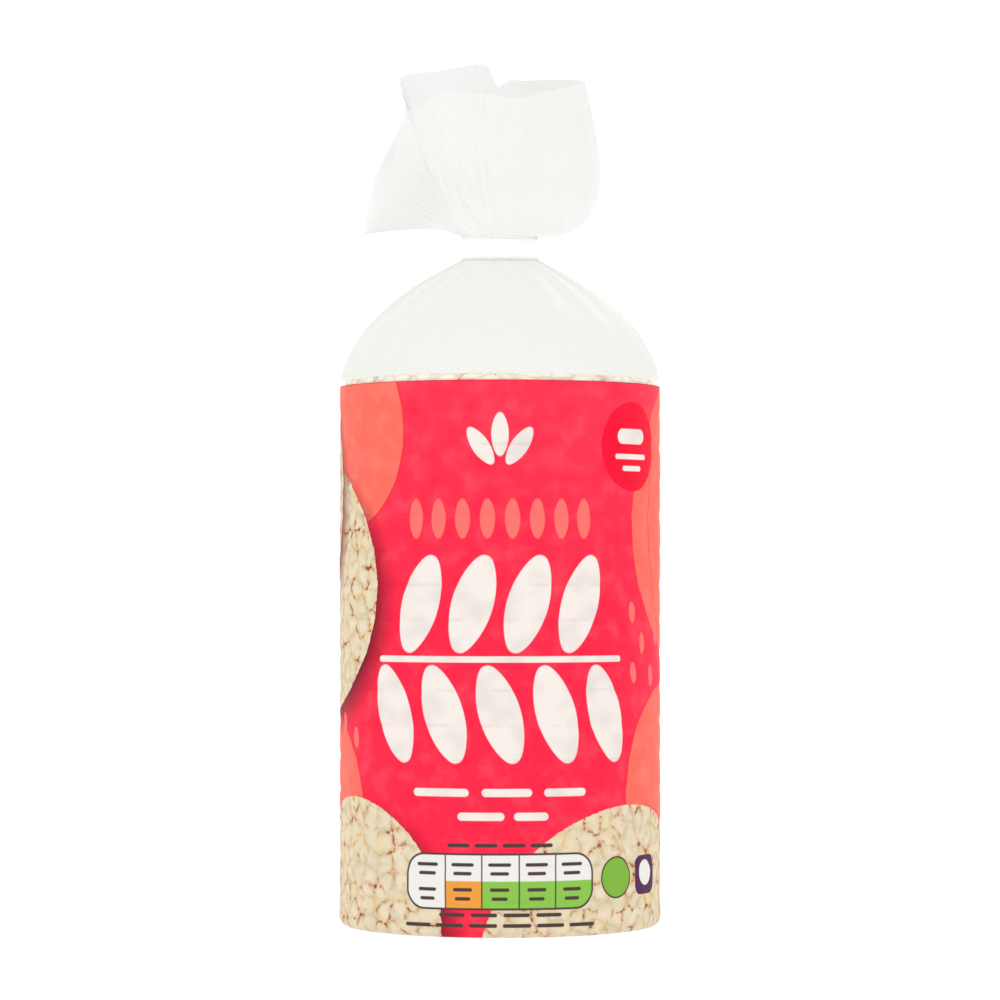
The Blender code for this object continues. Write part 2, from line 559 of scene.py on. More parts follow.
def stamp(tree, under, distance, colour, edge=EDGE):
    """Prints a shape, which is given by its distance, over what is there."""
    return paint(tree, under, inside(tree, distance, edge), colour)


print("shapes are drawn with edges of", EDGE, "mm")

# %% [markdown]
# ## Puffed rice, printed and real
#
# A puffed rice cake is a mass of burst grains, each a pale bubbly lump about five
# millimetres wide, fused along brown seams of bran. A cell pattern gives such lumps. The
# edges between its cells are the seams, and a broad noise makes some of them dark and
# hides others, as on the real cake.

# %% The picture of puffed rice
PRINTED_GRAIN = 5.4
SWIRL_SIZE = 5.0
SWIRL_PUSH = 3.4
FRAY_SIZE = 1.3
FRAY_PUSH = 1.1
PUFFED_CREAM = ink("#D3C3A2")
PUFFED_PALE = ink("#E2D6BC")
PUFFED_YELLOW = ink("#E4CD92")
PUFFED_SHADE = ink("#C9AB82")
BRAN_ORANGE = ink("#D49562")
BRAN_BROWN = ink("#74441F")


def patches(tree, place, size, detail=3.0, kind="Fac"):
    """A soft noise whose patches are about a size across, as a number or a colour."""
    cloud = {"Vector": place, "Scale": 1 / size, "Detail": detail}
    return add(tree, "ShaderNodeTexNoise", cloud).outputs[kind]


def specks(tree, place, spacing):
    """Small scattered dots of bran, some large and some missing."""
    dots = {"Vector": place, "Scale": 1 / spacing}
    near = add(tree, "ShaderNodeTexVoronoi", dots)
    choice = add(tree, "ShaderNodeSeparateColor", {0: near.outputs["Color"]}).outputs[1]
    dot = ramp(tree, near.outputs["Distance"], 0.15, 0.1)
    return both(tree, dot, ramp(tree, choice, 0.6, 0.66))


def puffed_picture(tree, place):
    """The colours of a flat picture of puffed rice."""
    swirl = patches(tree, place, SWIRL_SIZE, kind="Color")
    swirled = vector(tree, "MULTIPLY_ADD", swirl, (SWIRL_PUSH, SWIRL_PUSH, 0), place)
    fray = patches(tree, place, FRAY_SIZE, kind="Color")
    frayed = vector(tree, "MULTIPLY_ADD", fray, (FRAY_PUSH, FRAY_PUSH, 0), swirled)
    cell = {"Vector": frayed, "Scale": 1 / PRINTED_GRAIN}
    kind = {"feature": "DISTANCE_TO_EDGE", "voronoi_dimensions": "2D"}
    edge = add(tree, "ShaderNodeTexVoronoi", cell, **kind).outputs["Distance"]
    bran = patches(tree, place, 8.0, 4.0)
    broken = patches(tree, place, 1.9, 3.0)
    tone = patches(tree, place, 3.6, 2.0)
    colour = paint(tree, PUFFED_CREAM, ramp(tree, tone, 0.4, 0.66), PUFFED_PALE)
    sunny = ramp(tree, patches(tree, place, 6.0), 0.52, 0.66, 0.6)
    colour = paint(tree, colour, sunny, PUFFED_YELLOW)
    colour = paint(tree, colour, ramp(tree, edge, 0.12, 0.36, 0.5), PUFFED_PALE)
    soft_seam = both(tree, ramp(tree, edge, 0.14, 0.0), ramp(tree, tone, 0.7, 0.4, 0.6))
    colour = paint(tree, colour, soft_seam, PUFFED_SHADE)
    halo = both(tree, ramp(tree, edge, 0.22, 0.03), ramp(tree, bran, 0.47, 0.58, 0.85))
    halo = both(tree, halo, ramp(tree, broken, 0.38, 0.54))
    colour = paint(tree, colour, halo, BRAN_ORANGE)
    crack = both(tree, ramp(tree, edge, 0.09, 0.02), ramp(tree, bran, 0.5, 0.56, 0.95))
    crack = both(tree, crack, ramp(tree, broken, 0.48, 0.56))
    colour = paint(tree, colour, crack, BRAN_BROWN)
    return paint(tree, colour, specks(tree, swirled, 3.0), BRAN_ORANGE)


print("printed grains are", PRINTED_GRAIN, "mm wide")

# %% [markdown]
# ## The printed film
#
# The film is polypropylene, printed on its inner face and left glossy outside. What the
# eye sees is a saturated ink under a smooth clear layer, softened by fine creases that
# break the highlights up. The colours are laid down in the printer's order: the ground,
# the fields, the cakes and what lies over them.

# %% Rows of the printed film
PRINT_STRIPS = 384
BASE_ROWS = 14
CORNER_ROWS = 5
JOINT_SHARES = (-1.0, -0.7, -0.4, -0.15, 0.0, 0.15, 0.4, 0.7, 1.0)
LAST_SHARES = (0.35, 0.7, 1.0)

print_heights = [
    BASE_CORNER * (1 - math.cos(math.pi / 2 * step / CORNER_ROWS))
    for step in range(CORNER_ROWS + 1)
]
for joint in range(1, CAKE_COUNT):
    print_heights += [joint * CAKE_PITCH + share * JOINT_REACH for share in JOINT_SHARES]
last_rib = print_heights[-1]
print_heights += [last_rib + (PRINT_TOP - last_rib) * share for share in LAST_SHARES]
print_rows = [partial(base_film, share=step / BASE_ROWS) for step in range(BASE_ROWS)]
print_rows += [partial(standing_film, height=height) for height in print_heights]

PRINT_LENGTH = ways_along(print_rows)[-1]
PRINT_WIDTH = math.tau * BODY_RADIUS
print("printed film:", round(PRINT_WIDTH), "mm round and", round(PRINT_LENGTH), "mm long")

# %% [markdown]
# ## Inks and places
#
# The printed film has a few flat spot colours. A place on it is found from the UV map of
# the flat sheet, in millimetres: once from the middle of the front and once from the
# middle of the back, so that no design falls on the seam of the layout.

# %% Places on the printed film
PINK = ink("#FA2345")
# Pink with a painted sheen, laid over the top of the ground.
PINK_TOP_SHEEN = ink("#FA304C")
CORAL = ink("#FA6958")
# Coral with a painted sheen, where the film's creases catch the light.
CORAL_CREASE_SHEEN = ink("#FB7868")
CORAL_PALE = ink("#FB7068")
SHADOW_RED = ink("#7E0422")
BADGE_RED = ink("#F20030")
PRINT_WHITE = ink("#ECE3DC")
# White with painted shade, where the film's creases send less light back.
WHITE_IN_CREASE_SHADE = ink("#E1D8D2")
PANEL_WHITE = ink("#E6E4E0")
PANEL_LINE = ink("#4A3A36")
CELL_AMBER = ink("#E79A3E")
CELL_GREEN = ink("#86BE4B")
BADGE_GREEN = ink("#7CB03E")
BADGE_PURPLE = ink("#54244E")

film_finish = {
    "Roughness": 0.34,
    "IOR": 1.49,
    "Specular IOR Level": 0.0,
    "Coat Weight": 0.25,
    "Coat IOR": 1.49,
    "Coat Roughness": 0.3,
}
# Cast polypropylene film, printed by gravure on its inner face. It shows strong flat ink
# under a clear glossy skin. The gloss is a weak coat, so that the edges keep their colour.
printed_film, film, film_shader = new_material("gravure_printed_polypropylene", film_finish)


def film_place(tree, middle_turn):
    """Millimetres on the flat film, across from a middle line and up from the base."""
    flat = add(tree, "ShaderNodeUVMap", uv_map=LAYOUT).outputs[0]
    parts = add(tree, "ShaderNodeSeparateXYZ", {0: flat})
    turned = number(tree, "ADD", parts.outputs[0], 1.5 - middle_turn)
    share = number(tree, "FRACT", turned)
    across = number(tree, "MULTIPLY_ADD", share, PRINT_WIDTH, -PRINT_WIDTH / 2)
    up = number(tree, "MULTIPLY_ADD", parts.outputs[1], PRINT_LENGTH, PRINT_TOP - PRINT_LENGTH)
    return add(tree, "ShaderNodeCombineXYZ", {0: across, 1: up}).outputs[0]


front = film_place(film, FRONT_TURN)
back = film_place(film, BACK_TURN)
print("print is measured from the middle of the front and of the back")

# %% [markdown]
# ## The ground, the fields and the printed cakes
#
# The ground is pink. A painted sheen makes it a little lighter towards the top, and
# painted sheen and shade from the film's creases lie over it in soft patches.
# Large leaning ovals of coral run off round the sides, each with a thin dark rim where
# the two inks overlap. The printed cakes are discs of puffed rice with a ragged rim, each
# over a soft red shadow that falls down to the right.

# %% Fields and cakes
CORAL_FIELDS = [
    ((-58, 150), 54, 68, -24),
    ((82, 121), 74, 84, 18),
    ((74, 30), 62, 84, -20),
    ((-70, 24), 46, 70, 12),
]
CAKE_DISCS = [((-77, 100), 37), ((-52, 4), 35), ((43, -13), 50)]
BACK_CORAL = [((-58, 128), 70, 96, 20), ((66, 34), 72, 60, -15)]
BACK_CAKES = [((52, 128), 34)]
CAKE_SHADOW_SHIFT = Vector((3.6, -3.8))
CAKE_SHADOW_BLUR = 4.8
CAKE_RAGGED = 0.35
INK_OVERLAP = 0.28
OVERLAP_RED = ink("#DC1C38")
TOP_SHEEN_FROM = 90
MOTTLE_SIZE = 7.0
# Painted sheen and painted shade, in soft patches from the film's creases.
CREASE_SHEEN_PINK = ink("#FD5464")
CREASE_SHADE_PINK = ink("#F2163C")

film_height = add(film, "ShaderNodeSeparateXYZ", {0: front}).outputs[1]
# Painted sheen: the pink grows lighter towards the top.
colour = paint(film, PINK, ramp(film, film_height, TOP_SHEEN_FROM, PRINT_TOP), PINK_TOP_SHEEN)
# Painted sheen and shade from the film's creases lie over the pink and the coral in patches.
crease_light_mottle = patches(film, front, MOTTLE_SIZE, 4.0)
colour = paint(film, colour, ramp(film, crease_light_mottle, 0.5, 0.72, 0.45), CREASE_SHEEN_PINK)
colour = paint(film, colour, ramp(film, crease_light_mottle, 0.46, 0.3, 0.5), CREASE_SHADE_PINK)
coral_with_crease_sheen = paint(film, CORAL, ramp(film, crease_light_mottle, 0.45, 0.7), CORAL_CREASE_SHEEN)
for place, fields in ((front, CORAL_FIELDS), (back, BACK_CORAL)):
    for centre, width, height, lean in fields:
        field = oval(film, place, centre, width, height, lean)
        overlap = number(film, "SUBTRACT", field, INK_OVERLAP)
        colour = stamp(film, colour, overlap, OVERLAP_RED)
        colour = stamp(film, colour, field, coral_with_crease_sheen)

rice = puffed_picture(film, front)
ragged_rim = ramp(film, patches(film, front, 1.6), 0.3, 0.7, CAKE_RAGGED)
for place, cakes in ((front, CAKE_DISCS), (back, BACK_CAKES)):
    for centre, radius in cakes:
        fallen = Vector(centre) + CAKE_SHADOW_SHIFT
        shadow = disc(film, place, fallen, radius)
        colour = stamp(film, colour, shadow, SHADOW_RED, CAKE_SHADOW_BLUR)
        edge = disc(film, place, centre, radius)
        ragged = number(film, "ADD", edge, ragged_rim)
        colour = stamp(film, colour, ragged, rice)
print("fields:", len(CORAL_FIELDS) + len(BACK_CORAL), "cakes:", len(CAKE_DISCS) + len(BACK_CAKES))

# %% [markdown]
# ## The ear of rice
#
# The largest part of the print is an ear of rice: two rows of plump white grains that lean
# apart over a thin stem. Each row is one grain on a folded place. The white carries a
# painted shade in patches, where creased film sends less light back.

# %% The ear of rice
UPPER_GRAINS = {"first": -24.0, "step": 16.0, "count": 4}
LOWER_GRAINS = {"first": -33.0, "step": 16.5, "count": 5}
GRAIN_WIDTH = 12.0
GRAIN_HEIGHT = 29.0
GRAIN_LEAN = 17.0
UPPER_HEIGHT = 95.0
LOWER_HEIGHT = 63.5
STEM = ((0, 79.2), 78, 1.8)

# Painted shade: the white ink is greyer in patches, where creased film sends less light back.
crease_shade_on_white = ramp(film, patches(film, front, 10.0, 1.5), 0.45, 0.65)
shaded_white_print = paint(film, PRINT_WHITE, crease_shade_on_white, WHITE_IN_CREASE_SHADE)


def printed_grains(tree, under, row, height, lean):
    """Prints a row of plump white grains."""
    place = repeated(tree, front, 0, **row)
    body = grain(tree, place, (row["first"], height), GRAIN_WIDTH, GRAIN_HEIGHT, lean)
    return stamp(tree, under, body, shaded_white_print)


stem = dash(film, front, *STEM)
colour = stamp(film, colour, stem, shaded_white_print)
colour = printed_grains(film, colour, UPPER_GRAINS, UPPER_HEIGHT, GRAIN_LEAN)
colour = printed_grains(film, colour, LOWER_GRAINS, LOWER_HEIGHT, -GRAIN_LEAN)
print("ear of", UPPER_GRAINS["count"] + LOWER_GRAINS["count"], "printed grains")

# %% [markdown]
# ## Small motifs
#
# A sprig of three grains is at the top, with a row of pale coral grains below it. A red
# round badge, a few scattered grains and short white lines fill the rest. Grains and bars
# are used again at other sizes, so the design holds together.

# %% The small motifs
SPRIG = [((0, 143.5), 0), ((-5.6, 140.2), -34), ((5.6, 140.2), 34)]
SPRIG_GRAIN = (5.0, 12.5)
SMALL_GRAINS = {"first": -25.2, "step": 7.2, "count": 8}
SMALL_GRAIN = (4.4, 11.4)
SMALL_GRAIN_HEIGHT = 119.4
RED_BADGE = ((44.5, 140.5), 13.0)
BADGE_BARS = [((44.5, 143.5), 13.0, 4.4), ((44.5, 137.6), 15.0, 1.5), ((44.5, 134.2), 9.0, 1.5)]
SCATTER = [
    (44.5, 92.5), (54.5, 95.5), (50.0, 83.5), (60.5, 86.0), (45.0, 75.0), (56.0, 74.0),
    (-51.0, 56.0), (-60.5, 60.0), (-55.5, 47.5),
]
SCATTER_GRAIN = (3.0, 6.2)
LINES = [
    ((-17.5, 41.2), 17.0), ((2.0, 41.2), 14.5), ((19.3, 41.2), 13.0),
    ((-5.5, 34.4), 13.5), ((9.0, 34.4), 10.0),
]
LINE_HEIGHT = 2.3

for centre, lean in SPRIG:
    leaf = grain(film, front, centre, *SPRIG_GRAIN, lean)
    colour = stamp(film, colour, leaf, shaded_white_print)
row_place = repeated(film, front, 0, **SMALL_GRAINS)
small = grain(film, row_place, (SMALL_GRAINS["first"], SMALL_GRAIN_HEIGHT), *SMALL_GRAIN)
colour = stamp(film, colour, small, CORAL_PALE)
badge = disc(film, front, *RED_BADGE)
colour = stamp(film, colour, badge, BADGE_RED)
for centre, width, height in BADGE_BARS:
    block = dash(film, front, centre, width, height)
    colour = stamp(film, colour, block, shaded_white_print)
for centre in SCATTER:
    speck = oval(film, front, centre, *SCATTER_GRAIN, lean=-8)
    colour = stamp(film, colour, speck, CORAL_PALE)
for centre, width in LINES:
    line = dash(film, front, centre, width, LINE_HEIGHT)
    colour = stamp(film, colour, line, shaded_white_print)
print("motifs:", len(SPRIG) + len(SCATTER) + SMALL_GRAINS["count"], "small grains")

# %% [markdown]
# ## The panel of cells
#
# Food packs carry a small panel with one cell for each of a few figures, coloured amber or
# green. It is a white bar with round ends. One wide band of green and one amber cell are
# cut to its shape, and posts and short dark lines are folded along it.

# %% The panel of coloured cells
PANEL = ((0, 15.9), 56.0, 15.6)
PANEL_CORNER = 5.5
PANEL_OUTLINE = 0.3
CELL_STEP = 10.7
CELL_FIRST = -21.5
CELL_HALF = 16.0
DIVIDER = -15.9
BAND_DEPTH = 20
BAND = ((20, CELL_HALF - BAND_DEPTH / 2), 71.8, BAND_DEPTH)
WORD_HEIGHT = 1.0
CELL_WORDS = ((20.7, 6.6), (18.2, 5.4), (13.6, 5.6), (11.0, 4.6))
LONG_WORD_HEIGHT = 1.1
LONG_WORDS = ((26.2, -12.0, 8.0, 4, 6.6), (6.4, -14.0, 9.4, 4, 7.6), (3.4, -24.5, 9.8, 6, 8.2))


def panel_print(tree, under):
    """Prints a white panel with an amber and three green cells and short dark lines."""
    edge = bar(tree, front, *PANEL, PANEL_CORNER)
    shape = inside(tree, edge)
    painted = paint(tree, under, shape, PANEL_WHITE)
    band = both(tree, shape, inside(tree, bar(tree, front, *BAND, SQUARE)))
    painted = paint(tree, painted, band, CELL_GREEN)
    amber_centre = (DIVIDER + CELL_STEP / 2, BAND[0][1])
    amber = bar(tree, front, amber_centre, CELL_STEP, BAND_DEPTH, SQUARE)
    amber_cell = both(tree, shape, inside(tree, amber))
    painted = paint(tree, painted, amber_cell, CELL_AMBER)
    posts = repeated(tree, front, 0, DIVIDER, CELL_STEP, 4)
    post = bar(tree, posts, (DIVIDER, PANEL[0][1]), 2 * SQUARE, PANEL[2], SQUARE)
    ring = number(tree, "SUBTRACT", number(tree, "ABSOLUTE", edge), PANEL_OUTLINE)
    lines = both(tree, shape, inside(tree, post))
    lines = either(tree, lines, inside(tree, ring))
    cells = repeated(tree, front, 0, CELL_FIRST, CELL_STEP, 5)
    for height, width in CELL_WORDS:
        word = dash(tree, cells, (CELL_FIRST, height), width, WORD_HEIGHT)
        lines = either(tree, lines, inside(tree, word))
    return paint(tree, painted, lines, PANEL_LINE)


colour = panel_print(film, colour)
for height, first, step, count, width in LONG_WORDS:
    words = repeated(film, front, 0, first, step, count)
    word = dash(film, words, (first, height), width, LONG_WORD_HEIGHT)
    colour = stamp(film, colour, word, PANEL_LINE)
print("panel of 5 cells,", PANEL[1], "mm wide")

# %% [markdown]
# ## Badges, and the back
#
# Two small badges stand beside the panel. The back of the pack carries two white panels of
# dark lines. Only the front could be seen when this was made, so the back is kept plain.

# %% Round badges and the back panel
GREEN_BADGE = ((37.3, 16.2), 6.1)
BADGE_RIM = 0.5
PURPLE_BADGE = ((52.0, 16.2), 12.0, 11.4, 3.0)
PURPLE_EYE = ((52.0, 16.8), 3.7)
BACK_PANELS = [((-39, 70), 58, 84), ((38, 62), 52, 66)]
BACK_CORNER = 5.0
BACK_MARGIN = 6.0
BACK_LINE_STEP = 5.2
BACK_LINE = 1.4

green = disc(film, front, *GREEN_BADGE)
badges = [
    (green, PANEL_LINE),
    (number(film, "ADD", green, BADGE_RIM), BADGE_GREEN),
    (bar(film, front, *PURPLE_BADGE), BADGE_PURPLE),
    (disc(film, front, *PURPLE_EYE), PANEL_WHITE),
]
for shape, tone in badges:
    colour = stamp(film, colour, shape, tone)
for centre, width, height in BACK_PANELS:
    panel = bar(film, back, centre, width, height, BACK_CORNER)
    colour = stamp(film, colour, panel, PANEL_WHITE)
    count = int((height - 2 * BACK_MARGIN) / BACK_LINE_STEP)
    first = centre[1] - (count - 1) * BACK_LINE_STEP / 2
    rows = repeated(film, back, 1, first, BACK_LINE_STEP, count)
    words = dash(film, rows, (centre[0], first), width - 2 * BACK_CORNER, BACK_LINE)
    colour = stamp(film, colour, words, PANEL_LINE)
print("badges: 3, back panels:", len(BACK_PANELS))

# %% [markdown]
# ## Creases, gloss and the finished sheet
#
# A thin dark line ends the ink at the top. A painted shade line runs down the edge of the
# lap of the seam at the back, and faint painted crease shade lies at the joints between
# the cakes, here and there. A fine ripple bends the highlights and varies the gloss. A
# smooth film would mirror the lamps like glass, and film never lies that flat.

# %% Finish of the printed film
FILM_RIPPLE = 1.6
FILM_BUMP = 0.1
FILM_BUMP_DEPTH = 0.2 * MM
SMOOTHEST = 0.28
ROUGHEST = 0.40
CUT_LINE = 0.35
CUT_LINE_SHARE = 0.75
JOINT_CREASE = 0.5
CREASE_SHADE = ink("#DEDADA")

edge_line = ramp(film, film_height, PRINT_TOP - CUT_LINE, PRINT_TOP, CUT_LINE_SHARE)
colour = paint(film, colour, edge_line, SHADOW_RED)
# Painted shade: faint darker lines at some joints between the cakes, and one at the edge of the
# lap of the back seam.
joints = repeated(film, front, 1, CAKE_PITCH, CAKE_PITCH, CAKE_COUNT - 1)
joint = bar(film, joints, (0, CAKE_PITCH), 2 * PRINT_WIDTH, JOINT_CREASE, SQUARE)
crease_shade_patches = ramp(film, patches(film, front, 9.0), 0.46, 0.6, 0.5)
lap_edge = bar(film, back, (BACK_SEAM_HALF_WIDTH, 0), 2 * SQUARE, 2 * PRINT_LENGTH, SQUARE)
crease_shade_mask = both(film, inside(film, joint, JOINT_CREASE), crease_shade_patches)
crease_shade_mask = either(film, crease_shade_mask, inside(film, lap_edge))
crease = {"Factor": crease_shade_mask, 6: colour, 7: CREASE_SHADE}
creased = add(film, "ShaderNodeMix", crease, data_type="RGBA", blend_type="MULTIPLY")
film.links.new(creased.outputs[2], film_shader.inputs["Base Color"])
ripples = patches(film, object_place(film), FILM_RIPPLE * MM)
rippled = roughen(film, film_shader, ripples, FILM_BUMP, FILM_BUMP_DEPTH)
film.links.new(rippled, film_shader.inputs["Coat Normal"])
gloss = mixed(film, ripples, SMOOTHEST, ROUGHEST)
film.links.new(gloss, film_shader.inputs["Roughness"])

print_sheet = wrapped_sheet(print_rows, PRINT_STRIPS, film_relief)
make_piece("printed_film", print_sheet, printed_film, "printed_film", "bag")

# %% [markdown]
# ## The frill
#
# Above the tape each strip of film leaves the neck sideways, swells, and stands up to the
# cut mouth. A smooth closed curve through a few points gives the mouth, and a Bezier
# curve carries each strip there from the neck. Three kinds of folds lie over that: fine
# gathers that die out just above the tape, creases that run up the film, and the soft
# ruffles of the mouth. Cloth simulation could crumple a tube like this, but it would not
# hold the lie of the real frill, with its wing on the left.

# %% Film above the tape
FRILL_GATHER_DEPTH = 0.3
FRILL_GATHER_FADE = 0.16
FRILL_FOLD_COUNT = 19
FRILL_VARIETY = 6.0
FRILL_FOLD_DEPTH = 0.5
CRUMPLE_ACROSS = 8.0
CRUMPLE_ALONG = 26.0
CRUMPLE_DEPTH = 0.9
CRUMPLE_ROUNDING = 0.06
NOTCH_TURN = 0.154
NOTCH_REACH = 0.0235
NOTCH_DEPTH = 4.2


def mouth_point(turn):
    """A point on the cut edge: a smooth curve through the MOUTH points, with a notch."""
    place = (turn % 1) * len(MOUTH)
    first = math.floor(place)
    share = place - first
    before, start, end, after = (MOUTH[(first + k) % len(MOUTH)] for k in (-1, 0, 1, 2))
    bend = 2 * before - 5 * start + 4 * end - after
    turn_back = 3 * (start - end) + after - before
    point = start + 0.5 * share * (end - before + share * (bend + share * turn_back))
    point.z -= NOTCH_DEPTH * max(1 - abs(turn % 1 - NOTCH_TURN) / NOTCH_REACH, 0)
    return point


def frill_folds(turn, reach):
    """How far the folds push the film outwards, from the neck, at 0, to the mouth, at 1."""
    angle = math.tau * turn
    away_from_edges = math.sin(angle) ** 2
    gathers = FRILL_GATHER_DEPTH * math.exp(-reach / FRILL_GATHER_FADE) * reach**0.3
    folds = gathers * tucks(turn, GATHER_COUNT, NECK_VARIETY)
    middle = FRILL_FOLD_DEPTH * math.sin(math.pi * min(reach * 1.6, 1))
    folds += middle * tucks(turn, FRILL_FOLD_COUNT, FRILL_VARIETY) * away_from_edges
    ruffles = RUFFLE_DEPTH * reach**1.5 * math.sin(RUFFLE_COUNT * angle)
    height = reach * (bag_high.z - NECK_TOP) / CRUMPLE_ALONG
    spot = round_the_tube(turn, BODY_RADIUS / CRUMPLE_ACROSS, height)
    crumple = 1 - 3 * math.hypot(noise.noise(spot), CRUMPLE_ROUNDING)
    folds += (ruffles + CRUMPLE_DEPTH * min(reach * 3, 1) * crumple) * away_from_edges
    return folds


def frill_film(turn, reach):
    """A point on the frill: reach runs from 0 at the neck to 1 at the cut edge."""
    swing = math.cos(math.tau * turn)
    neck = standing_film(turn, NECK_TOP)
    mouth = mouth_point(turn)
    outward = ((mouth - neck) * Vector((1, 1, 0))).normalized()
    puff = neck + outward * (SWELL_MEAN + SWELL_SWING * swing)
    puff.z += LIFT_MEAN + LIFT_SWING * swing
    lip = (puff + mouth) / 2
    rest = 1 - reach
    point = neck * rest**3 + mouth * reach**3
    point += puff * (3 * rest**2 * reach) + lip * (3 * rest * reach**2)
    return point + outward * frill_folds(turn, reach)


print("the mouth of the frill is a curve through", len(MOUTH), "points")

# %% [markdown]
# ## The clear film
#
# The clear film is the same sheet above the print, with no ink on it. Its rows crowd
# together where it curves most: near the neck, and where the frill bends out over the
# tape. Even rows would need many more of them for the same smooth curve.

# %% Rows of the clear film
CLEAR_STRIPS = 448
DOME_ROWS = 60
NECK_ROWS = 8
FRILL_ROWS = 84
FRILL_CROWDING = 1.25

clear_heights = [
    PRINT_TOP + (NECK_BOTTOM - PRINT_TOP) * math.sin(math.pi / 2 * step / DOME_ROWS)
    for step in range(DOME_ROWS + 1)
]
clear_heights += [
    NECK_BOTTOM + (NECK_TOP - NECK_BOTTOM) * step / NECK_ROWS for step in range(1, NECK_ROWS)
]
reaches = [(step / FRILL_ROWS) ** FRILL_CROWDING for step in range(FRILL_ROWS + 1)]
clear_rows = [partial(standing_film, height=height) for height in clear_heights]
clear_rows += [partial(frill_film, reach=reach) for reach in reaches]
clear_ways = ways_along(clear_rows)
print("clear film:", len(clear_rows), "rows on", round(clear_ways[-1]), "mm")

# %% [markdown]
# ## How milky the clear film is
#
# Nearly all light goes straight through, and a faint milkiness and its gloss are all that
# the eye sees. It shows most where it is seen edge on. Over the back of the frill and its
# left wing it is greyer and more opaque, a painted shade, and a deeper painted shade lies
# along the back of the mouth. Near the neck it is painted whiter, a painted light that
# lifts the shade there. Real refraction is lost on a film this thin, so it is shaded as a
# white surface that is mostly transparent.

# %% Finish of the clear film
FILM_GREY = ink("#E3E6DF")
FILM_WHITE = ink("#EEEFEC")
# Painted shade: a greyer film over the back of the frill and its left wing.
FILM_BACK_SHADE = ink("#EBECE9")
# Painted light: a whiter film near the neck, which lifts the shade under the tape.
FILM_NECK_LIGHTENED = ink("#F8F8F8")
# Painted shade: a greyer film along the back of the mouth.
FILM_MOUTH_SHADE = ink("#E3E4E1")
DOME_HAZE = (0.32, 0.5)
FRILL_HAZE = (0.4, 0.7)
BACK_SHADE_HAZE = (0.75, 0.9)
GATHERED_HAZE = 0.42
BACK_SHADE_UNTIL = 0.62
TOUCHING = (1.8, 3.4)
TOUCHING_HAZE = 0.06
NECK_FADE = 0.02
SIDE_FADE = 0.03
GATHERED_BELOW = 0.04
GATHERED_ABOVE = 0.2
MOUTH_BAND = (0.82, 0.93)
MOUTH_BACK = (0.46, 0.42)

# The same cast polypropylene film with no ink. It shows as a faint milky veil, with
# painted shade over the back of the frill and painted light near the neck.
clear_finish = {"Roughness": 0.28, "IOR": 1.49}
clear_film, clear, clear_shader = new_material("clear_polypropylene_film", clear_finish)
neck_share = clear_ways[DOME_ROWS + NECK_ROWS] / clear_ways[-1]
clear_flat = add(clear, "ShaderNodeUVMap", uv_map=LAYOUT).outputs[0]
clear_parts = add(clear, "ShaderNodeSeparateXYZ", {0: clear_flat})
round_share, up_share = clear_parts.outputs[0], clear_parts.outputs[1]
frill_part = ramp(clear, up_share, neck_share - NECK_FADE, neck_share + NECK_FADE)
# Painted shade over the back of the frill and its left wing, where the film is also more opaque.
back_shade_side = both(
    clear,
    ramp(clear, round_share, 0.0, SIDE_FADE),
    ramp(clear, round_share, BACK_SHADE_UNTIL + SIDE_FADE, BACK_SHADE_UNTIL),
)
back_shade_part = both(clear, frill_part, back_shade_side)
white_part = paint(clear, FILM_GREY, frill_part, FILM_WHITE)
clear_colour = paint(clear, white_part, back_shade_part, FILM_BACK_SHADE)
# Painted light: the film is painted whiter just below and above the neck.
near_neck = both(
    clear,
    ramp(clear, up_share, neck_share - GATHERED_BELOW, neck_share),
    ramp(clear, up_share, neck_share + GATHERED_ABOVE, neck_share),
)
clear_colour = paint(clear, clear_colour, near_neck, FILM_NECK_LIGHTENED)
# Painted shade along the back of the mouth of the frill.
mouth_band = ramp(clear, up_share, *MOUTH_BAND)
mouth_back_shade = both(clear, mouth_band, ramp(clear, round_share, *MOUTH_BACK))
clear_colour = paint(clear, clear_colour, mouth_back_shade, FILM_MOUTH_SHADE)
clear.links.new(clear_colour, clear_shader.inputs["Base Color"])

facing = add(clear, "ShaderNodeLayerWeight", {"Blend": 0.35}).outputs["Facing"]
dome_haze, frill_haze, back_shade_haze = (
    mixed(clear, facing, *haze) for haze in (DOME_HAZE, FRILL_HAZE, BACK_SHADE_HAZE)
)
haze = mixed(clear, frill_part, dome_haze, frill_haze)
haze = mixed(clear, back_shade_part, haze, back_shade_haze)
haze = mixed(clear, near_neck, haze, GATHERED_HAZE)
way_up = number(clear, "MULTIPLY", up_share, clear_ways[-1])
haze = mixed(clear, ramp(clear, way_up, *TOUCHING), TOUCHING_HAZE, haze)
clear.links.new(haze, clear_shader.inputs["Alpha"])

clear_sheet = wrapped_sheet(clear_rows, CLEAR_STRIPS, film_relief)
make_piece("clear_film", clear_sheet, clear_film, "clear_film", "bag")

# %% [markdown]
# ## The rice cakes
#
# Each cake is a thick round biscuit of puffed grains, pressed in a hot ring mould, so its
# faces and rim are flat in the large and lumpy close up. It is wrapped from a sheet like
# the film, from the middle of its lower face over the rim to the middle of its upper
# face. A cell pattern pushes the surface out in grains and in along the seams, and leaves
# the depth of the seams in an attribute for the material. Only the top cake can be seen
# closely, through the dome, so the ones below it have a coarser mesh.

# %% Shape a cake
CAKE_RADIUS = 46.0
CAKE_THICKNESS = 9.8
CAKE_CORNER = 1.8
GRAIN_SIZE = 5.0
GRAIN_SWIRL = 9
GRAIN_PUSH = 1.6
GRAIN_REACH = 0.8
GRAIN_BULGE = 0.5
SEAM_DEPTH = 0.45
SEAM_WIDTH = 0.13
CAKE_MARGIN = 0.85
FOOT_CLEARANCE = 1.0

